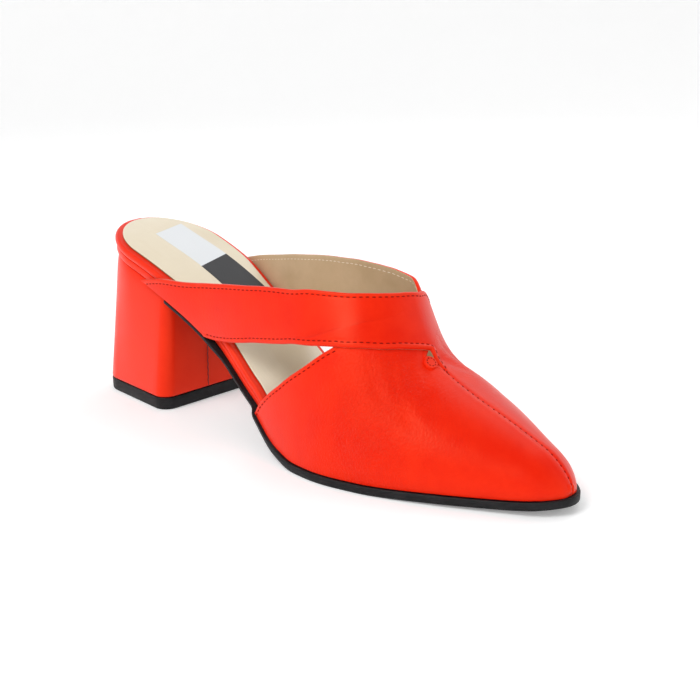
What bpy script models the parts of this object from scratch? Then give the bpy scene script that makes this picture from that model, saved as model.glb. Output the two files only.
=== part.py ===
"""Block heel mule, right shoe, in metres, +Z up, toe along +X, lateral side towards -Y.

The origin is the middle of the heel's bottom face, on the floor. Lengths along the shoe are
measured from the rearmost point of the footbed's outline and are shares of LENGTH in the tables.
A place on the upper is (at, around): at is the share of LENGTH, and around runs from -1 at the
lateral feather edge over 0 at the ridge of the instep to 1 at the medial feather edge.
"""
import math

import bmesh
import bpy
from mathutils import Vector

# Driving dimensions
LENGTH = 0.245
BALL_WIDTH = 0.070
HEEL_HEIGHT = 0.0664
INSTEP_HEIGHT = 0.0725
TOE_SWING = 0.002
HEEL_ROUND = 0.029
TOE_ROUND = 0.009
NOSE_ROUND = 0.013

SOLE_THICKNESS = 0.0032
SHANK_THICKNESS = 0.0014
SOLE_BEVEL = 0.0003
SOLE_EDGE = 0.0012
TOE_TRIM = 0.0005
WALL = 0.0016
GAP = 0.0003

RAND_THICKNESS = 0.0034
RAND_INSET = 0.0010
BOARD_THICKNESS = 0.0034
BOARD_END = 0.012
VAMP_INSET = 0.0016
SOCK_THICKNESS = 0.0008
SOCK_MARGIN = 0.0032

HEEL_START = 0.0036
HEEL_BREAST = 0.0562
HEEL_WIDTH_BACK = 0.0568
HEEL_WIDTH_FRONT = 0.0621
HEEL_BACK_CORNER = 0.0130
HEEL_BREAST_CORNER = 0.0065
HEEL_LIP = 0.0012
HEEL_TOP_INSET = 0.0016
LIFT_THICKNESS = 0.0056

KEYHOLE_LENGTH = 0.0055

# Shares, not lengths
KEYHOLE_OVER_SHARE = 0.012
KEYHOLE_UNDER_SHARE = 0.045
STRAP_RAMP_SHARE = 0.50
VAMP_RAMP_SHARE = 0.30
VAMP_THINNING_SHARE = 0.45
SOFTENING_SHARE = 0.022

# Counts of faces along the edges of the panels and the plates
CROSS_STEPS = 8
WALL_STEPS = 7
STRAP_STEPS = 15
VAMP_STEPS = 17
KEYHOLE_STEPS = 2
OUTLINE_STEPS = 34
HEEL_SIDE_STEPS = 5
HEEL_CORNER_STEPS = 6

# The footbed in plan and in side view. at: share of LENGTH. lateral and medial: half widths as
# shares of BALL_WIDTH, before the heel and the toe are rounded. seat: height of the footbed's
# underside over the forefoot, as a share of HEEL_HEIGHT.
PLAN = (
    # at, lateral, medial, seat
    (0.00, 0.378, 0.374, 1.000),
    (0.10, 0.383, 0.376, 0.883),
    (0.20, 0.386, 0.356, 0.760),
    (0.33, 0.362, 0.274, 0.525),
    (0.45, 0.405, 0.246, 0.213),
    (0.55, 0.505, 0.320, 0.030),
    (0.60, 0.540, 0.390, 0.000),
    (0.64, 0.550, 0.440, 0.000),
    (0.72, 0.504, 0.473, 0.000),
    (0.76, 0.458, 0.465, 0.002),
    (0.82, 0.374, 0.400, 0.010),
    (0.92, 0.203, 0.222, 0.022),
    (1.00, 0.066, 0.070, 0.052),
)

# The last's cross sections. at: share of LENGTH. ridge: height over the seat as a share of
# INSTEP_HEIGHT. lean: offset of the ridge to the medial side, and bulge: how far the wall swells,
# as shares of BALL_WIDTH. low: height of the swell as a share of the ridge. lateral and medial:
# how full the shoulders are, as shares of the half width.
SECTIONS = (
    # at, ridge, lean, bulge, low, lateral, medial
    (0.15, 0.940, 0.050, 0.030, 0.35, 0.83, 1.20),
    (0.33, 1.050, 0.070, 0.050, 0.35, 0.78, 1.38),
    (0.45, 1.240, 0.090, 0.040, 0.35, 0.70, 1.35),
    (0.55, 1.290, 0.090, -0.020, 0.35, 0.56, 0.95),
    (0.62, 1.090, 0.090, -0.040, 0.36, 0.53, 0.70),
    (0.655, 0.940, 0.080, -0.033, 0.38, 0.55, 0.49),
    (0.685, 0.767, 0.040, -0.020, 0.42, 0.555, 0.24),
    (0.715, 0.603, 0.005, 0.010, 0.49, 0.53, 0.22),
    (0.75, 0.494, 0.005, 0.034, 0.57, 0.515, 0.38),
    (0.79, 0.418, 0.005, 0.040, 0.61, 0.48, 0.55),
    (0.84, 0.337, 0.015, 0.038, 0.63, 0.45, 0.54),
    (0.90, 0.244, 0.030, 0.027, 0.65, 0.455, 0.44),
    (0.95, 0.160, 0.030, 0.018, 0.65, 0.50, 0.40),
    (1.00, 0.062, 0.025, 0.010, 0.60, 0.54, 0.36),
)

# The two pieces of the upper cross over the instep. Piece A is the lateral strap and the medial
# half of the vamp and lies on top. Piece B is the medial strap and the lateral half of the vamp.
# Each edge is a row of places (at, around). The corners where the edges cross are named first.
THROAT = (0.660, 0.260)
KEYHOLE = (0.7265, 0.000)
LATERAL_CROSS = (0.6343, -0.5337)
MEDIAL_CROSS = (0.632, 0.520)

A_STRAP_BACK = (
    THROAT, (0.6715, 0.100), (0.6725, 0.025), (0.67, -0.063), (0.6602, -0.181), (0.6344, -0.316),
    (0.5933, -0.416), (0.5538, -0.479), (0.5031, -0.527), (0.452, -0.585), (0.3961, -0.655),
    (0.337, -0.742), (0.278, -0.829), (0.227, -0.896), (0.165, -1.000),
)
A_STRAP_FRONT = (
    LATERAL_CROSS, (0.6206, -0.558), (0.5769, -0.621), (0.5118, -0.692), (0.4349, -0.801),
    (0.3921, -0.880), (0.358, -0.950), (0.332, -1.000),
)
A_CROSS_BACK = (THROAT, (0.654, 0.345), (0.644, 0.430), MEDIAL_CROSS)
A_CROSS_FRONT = (
    LATERAL_CROSS, (0.6549, -0.487), (0.6915, -0.334), (0.7136, -0.157), (0.7225, -0.055),
    KEYHOLE,
)
A_VAMP_BACK = (
    MEDIAL_CROSS, (0.617, 0.590), (0.586, 0.680), (0.547, 0.772), (0.519, 0.837), (0.489, 0.929),
    (0.474, 1.000),
)
B_STRAP_BACK = (
    THROAT, (0.641, 0.293), (0.6169, 0.355), (0.5902, 0.404), (0.565, 0.441), (0.5131, 0.477),
    (0.4721, 0.519), (0.442, 0.551), (0.41, 0.590), (0.359, 0.662), (0.303, 0.749),
    (0.2393, 0.853), (0.16, 1.000),
)
B_STRAP_FRONT = (
    MEDIAL_CROSS, (0.615, 0.560), (0.577, 0.622), (0.512, 0.694), (0.435, 0.805),
    (0.392, 0.885), (0.358, 0.950), (0.332, 1.000),
)
B_CROSS_BACK = (
    THROAT, (0.670, 0.200), (0.679, 0.110), (0.684, 0.010), (0.685, -0.080), (0.680, -0.210),
    (0.667, -0.350), (0.652, -0.450), LATERAL_CROSS,
)
B_CROSS_FRONT = (
    MEDIAL_CROSS, (0.660, 0.440), (0.692, 0.310), (0.713, 0.154), (0.722, 0.053), KEYHOLE,
)
B_VAMP_BACK = (
    LATERAL_CROSS, (0.617, -0.590), (0.586, -0.680), (0.547, -0.772), (0.519, -0.837),
    (0.489, -0.929), (0.473, -1.000),
)

# How far the outsole's edge stands out from the footbed's outline. at: share of LENGTH.
# out: share of the upper's wall with its gap, which the outsole carries under the vamp.
SOLE_OUT = (
    # at, out
    (0.22, 0.45),
    (0.34, 0.45),
    (0.38, -0.20),
    (0.455, -0.20),
    (0.477, 1.00),
    (0.60, 1.00),
)

# How the footbed's edges are turned. inset: depth from the outline. up: share of the thickness.
BOARD_EDGE = (
    # inset, up
    (0.0010, 0.0),
    (0.0003, 0.14),
    (0.0, 0.40),
    (0.0, 0.62),
    (0.0003, 0.86),
    (0.0011, 1.0),
)
RAND_EDGE = (
    # inset, up
    (0.0004, 0.0),
    (0.0, 0.15),
    (0.0, 0.85),
    (0.0004, 1.0),
)
SOCK_EDGE = (
    # inset, up
    (0.0, 0.0),
    (0.0, 0.6),
    (0.0003, 1.0),
)

# How the heel's cover rises from the top lift to the footbed. up: share of the height.
# lip: share of HEEL_LIP that the cover is turned in by.
HEEL_RISE = (
    # up, lip
    (0.0, 0.0),
    (0.25, 0.0),
    (0.5, 0.0),
    (0.75, 0.0),
    (0.90, 0.0),
    (0.96, 0.15),
    (1.0, 1.0),
)

LAST_END = LENGTH - WALL - GAP - SOLE_EDGE - TOE_TRIM
SMALLEST = 0.000002


def smooth(table, column, at):
    """A column of a table at a place, on a curve that keeps the rows' rises and falls."""
    xs = [row[0] for row in table]
    ys = [row[column] for row in table]
    steps = [(ys[k + 1] - ys[k]) / (xs[k + 1] - xs[k]) for k in range(len(xs) - 1)]
    if at <= xs[0]:
        return ys[0] + (at - xs[0]) * steps[0]
    if at >= xs[-1]:
        return ys[-1] + (at - xs[-1]) * steps[-1]

    def bend(k):
        if k == 0:
            return steps[0]
        if k == len(xs) - 1:
            return steps[-1]
        before, after = steps[k - 1], steps[k]
        if before * after <= 0:
            return 0.0
        back, ahead = xs[k] - xs[k - 1], xs[k + 1] - xs[k]
        near, far = 2 * ahead + back, ahead + 2 * back
        return (near + far) / (near / before + far / after)

    k = max(i for i in range(len(xs) - 1) if xs[i] <= at)
    span = xs[k + 1] - xs[k]
    u = (at - xs[k]) / span
    return (
        (2 * u**3 - 3 * u**2 + 1) * ys[k]
        + (u**3 - 2 * u**2 + u) * span * bend(k)
        + (3 * u**2 - 2 * u**3) * ys[k + 1]
        + (u**3 - u**2) * span * bend(k + 1)
    )


def soft(column, at):
    """A column of the sections, averaged over a short stretch so that no row shows."""
    spread = (-1.0, -0.5, 0.0, 0.5, 1.0)
    shares = (0.1, 0.25, 0.3, 0.25, 0.1)
    return sum(w * smooth(SECTIONS, column, at + SOFTENING_SHARE * d) for w, d in zip(shares, spread))


def ease(u):
    """0 to 1 with level ends."""
    u = min(max(u, 0.0), 1.0)
    return u * u * (3 - 2 * u)


def rounded(distance, radius):
    """1 away from an end, falling to 0 at the end on a circle's arc."""
    if distance >= radius:
        return 1.0
    return math.sqrt(max(0.0, 1 - (1 - max(distance, 0.0) / radius) ** 2))


def axis(x):
    return TOE_SWING * x / LENGTH


def half_width(x, side, end):
    """Half width of the footbed's outline on the lateral (-1) or medial (1) side."""
    width = BALL_WIDTH * smooth(PLAN, 1 if side < 0 else 2, x / LENGTH)
    return width * rounded(x, HEEL_ROUND) * rounded(end - x, TOE_ROUND)


def seat(x):
    """Height of the footbed's underside, which is the outsole's top."""
    return SOLE_THICKNESS + HEEL_HEIGHT * smooth(PLAN, 3, x / LENGTH)


def slope(x):
    """The seat's rise over its run, below 0 where it falls towards the toe."""
    step = LENGTH / 500
    return (seat(x + step) - seat(x - step)) / (2 * step)


def upright(x):
    """How much a thickness grows when it is measured straight up on the seat's slope."""
    return math.hypot(1, slope(x))


def last_point(at, around):
    """A point of the last, which is the upper's inner face."""
    x = at * LENGTH
    side = -1 if around < 0 else 1
    tip = rounded(LAST_END - x, TOE_ROUND)
    width = half_width(x, side, LAST_END) + GAP
    height = INSTEP_HEIGHT * soft(1, at) * rounded(LAST_END - x, NOSE_ROUND)
    lean = BALL_WIDTH * soft(2, at) * tip * side
    bulge = BALL_WIDTH * soft(3, at) * tip
    low = soft(4, at)
    shoulder = soft(5 if side < 0 else 6, at)
    up = 1 - abs(around)
    weights = ((1 - up) ** 3, 3 * up * (1 - up) ** 2, 3 * up**2 * (1 - up), up**3)
    outs = (width, width + bulge, lean + shoulder * (width - lean), lean)
    rises = (0, low * height, height, height)
    out = sum(w * v for w, v in zip(weights, outs))
    rise = sum(w * v for w, v in zip(weights, rises))
    return Vector((x, axis(x) + side * out, seat(x) + GAP + rise))


def last_normal(at, around):
    """The last's outward normal, level along the feather edge."""
    end = LAST_END / LENGTH
    if at > end - SMALLEST:
        return Vector((1.0, 0.0, 0.0))
    along = min(0.008, 0.45 * (end - at))
    over = 0.01
    forward = last_point(at + along, around) - last_point(at - along, around)
    high, low = min(around + over, 1.0), max(around - over, -1.0)
    across = last_point(at, high) - last_point(at, low)
    normal = forward.cross(across)
    if abs(around) > 0.999:
        normal.z = 0.0
    return normal.normalized()


def wall_point(at, around, height):
    """A point at a height over the last, kept level with the outsole at the feather edge."""
    point = last_point(at, around) + last_normal(at, around) * height
    if abs(around) > 0.999:
        point.z = seat(point.x) + GAP
    return point


def place_on(edge, share):
    """The place at a share of an edge's length, on a smooth curve through its rows."""
    reach = [0.0]
    for (a0, r0), (a1, r1) in zip(edge, edge[1:]):
        reach.append(reach[-1] + math.hypot(a1 - a0, 0.25 * (r1 - r0)))
    table = [(s / reach[-1], at, around) for s, (at, around) in zip(reach, edge)]
    if share <= 0:
        return edge[0]
    if share >= 1:
        return edge[-1]
    return (smooth(table, 1, share), smooth(table, 2, share))


def places(edge, steps):
    return [place_on(edge, k / steps) for k in range(steps + 1)]


def patch(near, far, left, right):
    """A grid of places between four edges. near and far run from left to right."""
    rows = len(left) - 1
    columns = len(near) - 1
    grid = []
    for j in range(rows + 1):
        v = j / rows
        row = []
        for i in range(columns + 1):
            u = i / columns
            place = []
            for c in (0, 1):
                sides = (1 - u) * left[j][c] + u * right[j][c]
                ends = (1 - v) * near[i][c] + v * far[i][c]
                corners = (
                    (1 - u) * (1 - v) * near[0][c] + u * (1 - v) * near[-1][c]
                    + (1 - u) * v * far[0][c] + u * v * far[-1][c]
                )
                place.append(sides + ends - corners)
            row.append(tuple(place))
        grid.append(row)
    return grid


def cross_patch():
    """The crossing: near is A's front edge, left is B's back edge."""
    return patch(
        places(A_CROSS_FRONT, CROSS_STEPS),
        places(A_CROSS_BACK, CROSS_STEPS),
        places(B_CROSS_BACK, CROSS_STEPS)[::-1],
        places(B_CROSS_FRONT, CROSS_STEPS)[::-1],
    )


def strap_patch(cross, front, back, side):
    """A strap from the crossing, where cross runs from its front to its back edge, to its foot."""
    foot = patch_line((front[-1][0], side), (back[-1][0], side), CROSS_STEPS)
    return patch(cross, foot, places(front, STRAP_STEPS), places(back, STRAP_STEPS))


def patch_line(start, end, steps):
    shares = [k / steps for k in range(steps + 1)]
    return [tuple(a + (b - a) * k for a, b in zip(start, end)) for k in shares]


def vamp_patch(back, cross, side):
    """Half of the vamp: rows run from the feather edge to the seam, and go from back to toe."""
    rear = places(back, WALL_STEPS)[::-1] + places(cross, CROSS_STEPS)[1:]
    columns = len(rear) - 1
    end = LAST_END / LENGTH
    reach = end - KEYHOLE[0]
    slot = KEYHOLE_LENGTH / LENGTH / reach
    shares = [slot * k / KEYHOLE_STEPS for k in range(KEYHOLE_STEPS)]
    for k in range(VAMP_STEPS + 1):
        u = k / VAMP_STEPS
        shares.append(slot + (1 - slot) * (0.35 * u + 0.65 * (1 - (1 - u) ** 2)))
    grid = []
    for j, share in enumerate(shares):
        even = ease(share / 0.35)
        spread = KEYHOLE_OVER_SHARE if side > 0 else KEYHOLE_UNDER_SHARE
        spread = spread * math.sin(math.pi * min(share / slot, 1.0))
        row = []
        for i, (at, around) in enumerate(rear):
            q = i / columns
            level = side * (1 - q)
            turned = around + (level - around) * even
            if i == columns:
                turned = side * spread if j < KEYHOLE_STEPS else 0.0
            row.append((at + (end - at) * share, turned))
        grid.append(row)
    return grid


def sheet(patches):
    """Joins grids of places into one sheet: places, faces with their patch's name, open edges."""
    index = {}
    spots = []
    faces = []
    uses = {}

    def number(place):
        at_tip = place[0] > LAST_END / LENGTH - SMALLEST
        key = (round(place[0], 6), 0.0 if at_tip else round(place[1], 6))
        if key not in index:
            index[key] = len(spots)
            spots.append(place)
        return index[key]

    for name, grid in patches:
        for low, high in zip(grid, grid[1:]):
            for i in range(len(low) - 1):
                ring = [number(p) for p in (low[i], low[i + 1], high[i + 1], high[i])]
                ring = [v for k, v in enumerate(ring) if v != ring[k - 1]]
                faces.append((name, ring))
                for a, b in zip(ring, ring[1:] + ring[:1]):
                    uses.setdefault(frozenset((a, b)), []).append((a, b))
    edges = [pairs[0] for pairs in uses.values() if len(pairs) == 1]
    return spots, faces, edges


def raised(name, row, column, rows, columns):
    """How far piece A is lifted by piece B under it, as a share of the wall."""
    if name == "cross":
        return 1.0
    if name == "strap":
        return 1 - ease(row / rows / STRAP_RAMP_SHARE)
    climb = ease(column / WALL_STEPS)
    inner = (columns - column) / columns
    ahead = max(row - KEYHOLE_STEPS, 0) / (rows - KEYHOLE_STEPS)
    slot = row / KEYHOLE_STEPS
    ramp = 1 - ease(ahead / VAMP_RAMP_SHARE)
    at_seam = 1 - ease(slot)
    return climb * (at_seam + (ramp - at_seam) * ease(inner / 0.4))


def add_panel(mesh, patches, lift, open_layer):
    """Adds a panel's inner and outer faces and its cut edges to a mesh."""
    spots, faces, edges = sheet(patches)
    seam_start = KEYHOLE[0] + KEYHOLE_LENGTH / LENGTH - 0.0001
    layers = []
    for level in (0, 1):
        layer = []
        for spot in spots:
            height = (lift.get(spot, 0.0) + level) * WALL
            layer.append(mesh.verts.new(wall_point(*spot, height)))
        layers.append(layer)
    for name, ring in faces:
        for level, layer in enumerate(layers):
            if name == "cross" and level == open_layer:
                continue
            turned = ring if level else ring[::-1]
            mesh.faces.new([layer[v] for v in turned])
    for a, b in edges:
        on_seam = all(abs(spots[v][1]) < 1e-6 and spots[v][0] > seam_start for v in (a, b))
        if not on_seam:
            mesh.faces.new([layers[0][a], layers[0][b], layers[1][b], layers[1][a]])


def finish(name, mesh, material):
    """Welds a mesh, turns its faces outwards and makes it an object under the shoe's empty."""
    bmesh.ops.remove_doubles(mesh, verts=mesh.verts, dist=SMALLEST)
    loose = [v for v in mesh.verts if not v.link_faces]
    bmesh.ops.delete(mesh, geom=loose, context="VERTS")
    bmesh.ops.recalc_face_normals(mesh, faces=mesh.faces)
    data = bpy.data.meshes.new(name)
    mesh.to_mesh(data)
    mesh.free()
    data.shade_smooth()
    data.set_sharp_from_angle(angle=math.radians(40))
    data.materials.append(material)
    piece = bpy.data.objects.new(name, data)
    bpy.context.collection.objects.link(piece)
    piece.parent = shoe
    return piece


def make_material(name, colour, roughness):
    material = bpy.data.materials.new(name)
    material.use_nodes = True
    shader = material.node_tree.nodes["Principled BSDF"]
    shader.inputs["Base Color"].default_value = (*colour, 1.0)
    shader.inputs["Roughness"].default_value = roughness
    shader.inputs["Metallic"].default_value = 0.0
    return material


def make_upper(material):
    """One hollow solid of two crossing leather pieces, open at the collar, sides and sole."""
    cross = cross_patch()
    lateral_back = [row[0] for row in cross]
    medial_back = cross[-1]
    a_strap = strap_patch(lateral_back, A_STRAP_FRONT, A_STRAP_BACK, -1.0)
    b_strap = strap_patch(medial_back[::-1], B_STRAP_FRONT, B_STRAP_BACK, 1.0)
    a_vamp = vamp_patch(A_VAMP_BACK, B_CROSS_FRONT, 1.0)
    b_vamp = vamp_patch(B_VAMP_BACK, A_CROSS_FRONT, -1.0)
    lift = {}
    for name, grid in (("vamp", a_vamp), ("strap", a_strap), ("cross", cross)):
        for j, row in enumerate(grid):
            for i, place in enumerate(row):
                lift[place] = raised(name, j, i, len(grid) - 1, len(row) - 1)
    mesh = bmesh.new()
    add_panel(mesh, (("cross", cross), ("strap", a_strap), ("vamp", a_vamp)), lift, 0)
    add_panel(mesh, (("cross", cross), ("strap", b_strap), ("vamp", b_vamp)), {}, 1)
    return finish("upper", mesh, material)


def outline(start, end):
    """The footbed's plan from a start, round the toe and back. Steps close up at both ends."""
    stations = []
    for k in range(OUTLINE_STEPS + 1):
        u = k / OUTLINE_STEPS
        even = 0.5 - 0.5 * math.cos(math.pi * u)
        stations.append(start + (end - start) * (0.75 * even + 0.25 * u))
    sides = []
    for side in (-1, 1):
        sides.append([(x, axis(x) + side * half_width(x, side, end)) for x in stations])
    return sides


def offset(sides, distances, square_start):
    """Moves an outline's points inwards, square to it, by a distance for each station.

    Where the start is a square cut, its two corners move along the cut alone.
    """
    lateral, medial = sides
    moved = []
    for side, points, other in ((-1, lateral, medial), (1, medial, lateral)):
        first = other[1] if other[0] == points[0] else other[0]
        last = other[-2] if other[-1] == points[-1] else other[-1]
        line = []
        for k, (x, y) in enumerate(points):
            before = points[k - 1] if k else (points[0] if square_start else first)
            after = points[k + 1] if k + 1 < len(points) else last
            dx, dy = after[0] - before[0], after[1] - before[1]
            size = math.hypot(dx, dy)
            depth = distances[k]
            line.append((x + side * depth * dy / size, y - side * depth * dx / size))
        moved.append(line)
    return moved


def fold(sides, height):
    """An outline's ring in space: lateral side forwards, medial side back."""
    lateral, medial = sides
    return [[Vector((x, y, height(x))) for x, y in line] for line in (lateral, medial)]


def plate(name, rings, material):
    """A closed plate from a stack of rings, each a lateral and a medial line of points."""
    mesh = bmesh.new()
    rows = [[[mesh.verts.new(p) for p in line] for line in ring] for ring in rings]
    loops = [lateral + medial[::-1] for lateral, medial in rows]
    for low, high in zip(loops, loops[1:]):
        for k in range(len(low)):
            mesh.faces.new([low[k - 1], low[k], high[k], high[k - 1]])
    for lateral, medial in (rows[0], rows[-1]):
        for k in range(len(lateral) - 1):
            mesh.faces.new([lateral[k], lateral[k + 1], medial[k + 1], medial[k]])
    bmesh.ops.remove_doubles(mesh, verts=mesh.verts, dist=SMALLEST)
    flat = [f for f in mesh.faces if f.calc_area() < 1e-12]
    bmesh.ops.delete(mesh, geom=flat, context="FACES_ONLY")
    return finish(name, mesh, material)


def in_vamp(x):
    """0 behind the vamp, 1 inside it."""
    return ease((x / LENGTH - 0.46) / 0.10)


def footbed_part(name, base, thickness, edge, inset, material):
    """A layer of the footbed that thins and draws in where the vamp covers it.

    At the heel its rings are stacked towards the seat's normal, and under the straps straight up.
    """
    end = LAST_END - BOARD_END
    sides = outline(0.0, end)
    rings = []
    for depth, up in edge:
        distances = [inset + depth + VAMP_INSET * in_vamp(x) for x, y in sides[0]]
        moved = offset(sides, distances, False)

        ring = []
        for line in moved:
            points = []
            for x, y in line:
                thin = 1 - VAMP_THINNING_SHARE * in_vamp(x)
                level = (base + up * thickness - GAP) * thin
                square = 0.80 * (1 - ease((x / LENGTH - 0.08) / 0.12))
                forward = -square * level * slope(x) / upright(x)
                rise = GAP + level * upright(x) + forward * slope(x)
                points.append(Vector((x + forward, y, seat(x) + rise)))
            ring.append(points)
        rings.append(ring)
    return plate(name, rings, material)


def make_outsole(material):
    """The thin rubber sole from the heel's breast to the toe, flat under the forefoot."""
    start = HEEL_BREAST + GAP
    sides = outline(start, LAST_END)
    covered = WALL + GAP

    def drop(x):
        grown = ease((x / LENGTH - 0.45) / 0.15)
        return (SHANK_THICKNESS + (SOLE_THICKNESS - SHANK_THICKNESS) * grown) * upright(x)

    rings = []
    for bevel, share in ((SOLE_BEVEL, 1.0), (0.0, 0.85), (0.0, 0.0)):
        out = [bevel - SOLE_EDGE - covered * smooth(SOLE_OUT, 1, x / LENGTH) for x, y in sides[0]]
        moved = offset(sides, out, True)
        rings.append(fold(moved, lambda x, share=share: seat(x) - share * drop(x)))
    return plate("outsole", rings, material)


def heel_base():
    """The heel's bottom outline as a lateral and a medial line from back to breast."""
    length = HEEL_BREAST - HEEL_START
    back, front = HEEL_BACK_CORNER, HEEL_BREAST_CORNER
    half_back, half_front = HEEL_WIDTH_BACK / 2, HEEL_WIDTH_FRONT / 2
    points = []
    for k in range(HEEL_CORNER_STEPS + 1):
        turn = math.pi / 2 * k / HEEL_CORNER_STEPS
        points.append((back - back * math.cos(turn), half_back - back + back * math.sin(turn)))
    for k in range(1, HEEL_SIDE_STEPS):
        u = k / HEEL_SIDE_STEPS
        along = back + (length - front - back) * u
        points.append((along, half_back + (half_front - half_back) * u))
    for k in range(HEEL_CORNER_STEPS + 1):
        turn = math.pi / 2 * k / HEEL_CORNER_STEPS
        points.append(
            (length - front + front * math.sin(turn), half_front - front + front * math.cos(turn))
        )
    return [[(HEEL_START + x, side * y) for x, y in points] for side in (-1, 1)]


def heel_top():
    """The footbed's outline over the heel, with as many points as the heel's base."""
    front = HEEL_BREAST_CORNER
    corner = HEEL_BREAST - front
    rear = len(heel_base()[0]) - HEEL_CORNER_STEPS
    sides = []
    for side in (-1, 1):
        points = []
        for k in range(rear):
            u = (k + 1) / rear
            x = corner * (0.6 * u * u + 0.4 * (1 - math.cos(math.pi * u / 2)))
            points.append((x, axis(x) + side * half_width(x, side, LAST_END)))
        wide = half_width(corner, side, LAST_END)
        for k in range(1, HEEL_CORNER_STEPS + 1):
            turn = math.pi / 2 * k / HEEL_CORNER_STEPS
            out = wide - front + front * math.cos(turn)
            points.append((corner + front * math.sin(turn), axis(corner) + side * out))
        sides.append(points)
    return sides


def make_heel(material):
    """The leather covered block, from the top lift to the underside of the footbed."""
    base = heel_base()
    top = heel_top()
    floor = LIFT_THICKNESS + GAP
    rings = []
    for up, lip in HEEL_RISE:
        head = offset(top, [HEEL_TOP_INSET + HEEL_LIP * lip] * len(top[0]), False)
        ring = []
        for low_line, high_line in zip(base, head):
            line = []
            for (x0, y0), (x1, y1) in zip(low_line, high_line):
                roof = seat(x1) - GAP
                z = floor + (roof - floor) * up
                line.append(Vector((x0 + (x1 - x0) * up, y0 + (y1 - y0) * up, z)))
            ring.append(line)
        rings.append(ring)
    return plate("heel", rings, material)


def make_lift(material):
    """The rubber top lift that the heel stands on."""
    base = heel_base()
    rings = []
    for inset, z in ((SOLE_BEVEL, 0.0), (0.0, SOLE_BEVEL), (0.0, LIFT_THICKNESS)):
        drawn = offset(base, [inset] * len(base[0]), False)
        rings.append(fold(drawn, lambda x, z=z: z))
    return plate("heel_lift", rings, material)


for old in list(bpy.data.objects):
    bpy.data.objects.remove(old)

shoe = bpy.data.objects.new("shoe", None)
bpy.context.collection.objects.link(shoe)
shoe.location = (-(HEEL_START + HEEL_BREAST) / 2, 0.0, 0.0)

leather = make_material("red_leather", (0.90, 0.045, 0.012), 0.38)
lining = make_material("beige_leather", (0.80, 0.70, 0.55), 0.50)
rubber = make_material("black_rubber", (0.017, 0.016, 0.017), 0.55)

make_upper(leather)
make_outsole(rubber)
make_heel(leather)
make_lift(rubber)
footbed_part("rand", GAP, RAND_THICKNESS, RAND_EDGE, RAND_INSET, leather)
board_base = RAND_THICKNESS + 2 * GAP
footbed_part("insole_board", board_base, BOARD_THICKNESS, BOARD_EDGE, 0.0, leather)
sock_base = board_base + BOARD_THICKNESS + GAP
footbed_part("sock", sock_base, SOCK_THICKNESS, SOCK_EDGE, SOCK_MARGIN, lining)
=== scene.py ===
"""The look of the block heel mule: a right shoe in red leather with a beige lining.

Every length is in metres. The shoe's own x runs from the rearmost point of the footbed, and the
meshes are moved back by MIDDLE, so that the origin is the middle of the heel's bottom face.
"""
import math

import bmesh
import bpy
import numpy as np
from mathutils import Matrix, Vector
from mathutils.bvhtree import BVHTree
from mathutils.kdtree import KDTree


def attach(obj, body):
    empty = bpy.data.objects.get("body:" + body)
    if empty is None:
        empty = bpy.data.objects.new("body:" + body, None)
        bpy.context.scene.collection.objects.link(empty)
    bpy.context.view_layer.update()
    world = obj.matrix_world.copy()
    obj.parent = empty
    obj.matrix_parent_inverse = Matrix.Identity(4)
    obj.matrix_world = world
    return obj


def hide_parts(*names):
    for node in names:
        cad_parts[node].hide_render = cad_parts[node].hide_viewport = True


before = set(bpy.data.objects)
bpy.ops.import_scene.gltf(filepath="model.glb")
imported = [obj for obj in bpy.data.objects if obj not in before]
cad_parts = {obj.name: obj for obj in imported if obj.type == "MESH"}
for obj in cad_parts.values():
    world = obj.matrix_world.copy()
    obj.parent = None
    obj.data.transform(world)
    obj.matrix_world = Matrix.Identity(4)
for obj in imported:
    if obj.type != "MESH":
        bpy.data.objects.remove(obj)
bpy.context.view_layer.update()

# Camera. It stands to the shoe's right and in front of the lateral side, a little above it,
# and looks back along the shoe. Its roll is the photograph's own.
stand = (0.38210, -0.28590, 0.15810)
turn, lift_angle, roll = math.radians(43.58), math.radians(16.86), math.radians(-0.59)
back = Vector((
    math.sin(turn) * math.cos(lift_angle),
    -math.cos(turn) * math.cos(lift_angle),
    math.sin(lift_angle),
))
side = Vector((math.cos(turn), math.sin(turn), 0.0))
top = back.cross(side)
right = math.cos(roll) * side + math.sin(roll) * top
over = math.cos(roll) * top - math.sin(roll) * side
lens = bpy.data.cameras.new("camera")
lens.sensor_width = 36.0
lens.lens = 53.15
lens.clip_start = 0.01
camera = bpy.data.objects.new("camera", lens)
bpy.context.collection.objects.link(camera)
camera.matrix_world = Matrix((
    (right.x, over.x, back.x, stand[0]),
    (right.y, over.y, back.y, stand[1]),
    (right.z, over.z, back.z, stand[2]),
    (0.0, 0.0, 0.0, 1.0),
))
bpy.context.scene.camera = camera

# Floor. A pale round table top whose rim curves up far behind the shoe, so that no horizon shows
# from any side. It glows a little, so that it comes out as white as photographer's paper.
FLAT_RADIUS = 1.6
RIM_RADIUS = 0.9
RIM_STEPS = 12
FLOOR_SIDES = 96


def skin(mesh, rings):
    """Faces between the closed rings of a stack."""
    for low, high in zip(rings, rings[1:]):
        for k in range(len(low)):
            mesh.faces.new((low[k - 1], low[k], high[k], high[k - 1]))


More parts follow.
